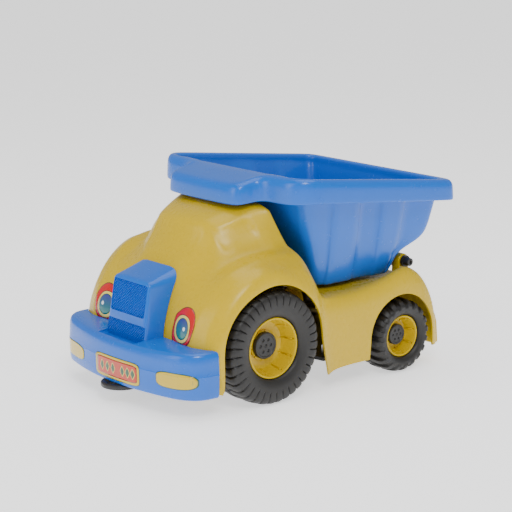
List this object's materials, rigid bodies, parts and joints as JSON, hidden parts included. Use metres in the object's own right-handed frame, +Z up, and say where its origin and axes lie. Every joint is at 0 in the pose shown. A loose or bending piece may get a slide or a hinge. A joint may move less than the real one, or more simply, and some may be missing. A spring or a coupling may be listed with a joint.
{
  "type": "push along truck",
  "caption": "Child's moulded plastic push-along dumper truck with a tipping tub, a rounded cab body, a bumper with grille and chunky wheels.",
  "frame": {"origin": "on the ground, under the middle of the truck's overall length and width", "axes": "+X towards the front of the truck, +Y towards its left side, +Z up"},
  "size_m": [0.419, 0.262, 0.2481],
  "materials": {
    "yellow_plastic": "moulded, satin gloss",
    "blue_plastic": "moulded, satin gloss",
    "black_plastic": "moulded, fine texture",
    "tyre_black": "blow-moulded black plastic",
    "steel": "bright wire and zinc-plated fixings",
    "sticker_print": "printed glossy film"
  },
  "bodies": {
    "chassis": {"body_shell": "yellow_plastic", "bumper_and_grille": "blue_plastic", "bumper_light_sticker_left": "sticker_print", "bumper_light_sticker_right": "sticker_print", "chassis_frame": "black_plastic", "chassis_screw_1": "steel", "chassis_screw_2": "steel", "chassis_screw_3": "steel", "chassis_screw_4": "steel", "chassis_screw_5": "steel", "chassis_screw_6": "steel", "front_axle": "steel", "headlight_sticker_left": "sticker_print", "headlight_sticker_right": "sticker_print", "hinge_clip_left": "black_plastic", "hinge_clip_right": "black_plastic", "hinge_pin": "black_plastic", "number_plate_sticker": "sticker_print", "push_nut_front_left": "steel", "push_nut_front_right": "steel", "push_nut_rear_left": "steel", "push_nut_rear_right": "steel", "rear_axle": "steel", "spacer_front_left": "black_plastic", "spacer_front_right": "black_plastic", "spacer_rear_left": "black_plastic", "spacer_rear_right": "black_plastic", "tow_hook": "black_plastic"},
    "wheel_front_left": {"tyre_front_left": "tyre_black", "rim_front_left": "yellow_plastic", "hub_cap_front_left": "black_plastic"},
    "wheel_front_right": {"tyre_front_right": "tyre_black", "rim_front_right": "yellow_plastic", "hub_cap_front_right": "black_plastic"},
    "wheel_rear_left": {"tyre_rear_left": "tyre_black", "rim_rear_left": "yellow_plastic", "hub_cap_rear_left": "black_plastic"},
    "wheel_rear_right": {"tyre_rear_right": "tyre_black", "rim_rear_right": "yellow_plastic", "hub_cap_rear_right": "black_plastic"},
    "tub": {"tipper_tub": "blue_plastic"}
  },
  "joints": [
    {"name": "front_left_wheel_spin", "type": "hinge", "parent": "chassis", "child": "wheel_front_left", "pos_m": [0.066, 0, 0.065], "axis": [0, 1, 0], "continuous": true},
    {"name": "front_right_wheel_spin", "type": "hinge", "parent": "chassis", "child": "wheel_front_right", "pos_m": [0.066, 0, 0.065], "axis": [0, 1, 0], "continuous": true},
    {"name": "rear_left_wheel_spin", "type": "hinge", "parent": "chassis", "child": "wheel_rear_left", "pos_m": [-0.1355, 0, 0.044], "axis": [0, 1, 0], "continuous": true},
    {"name": "rear_right_wheel_spin", "type": "hinge", "parent": "chassis", "child": "wheel_rear_right", "pos_m": [-0.1355, 0, 0.044], "axis": [0, 1, 0], "continuous": true},
    {"name": "tub_tip", "type": "hinge", "parent": "chassis", "child": "tub", "pos_m": [-0.1655, 0, 0.126], "axis": [0, -1, 0], "range_deg": [0, 55]}
  ]
}
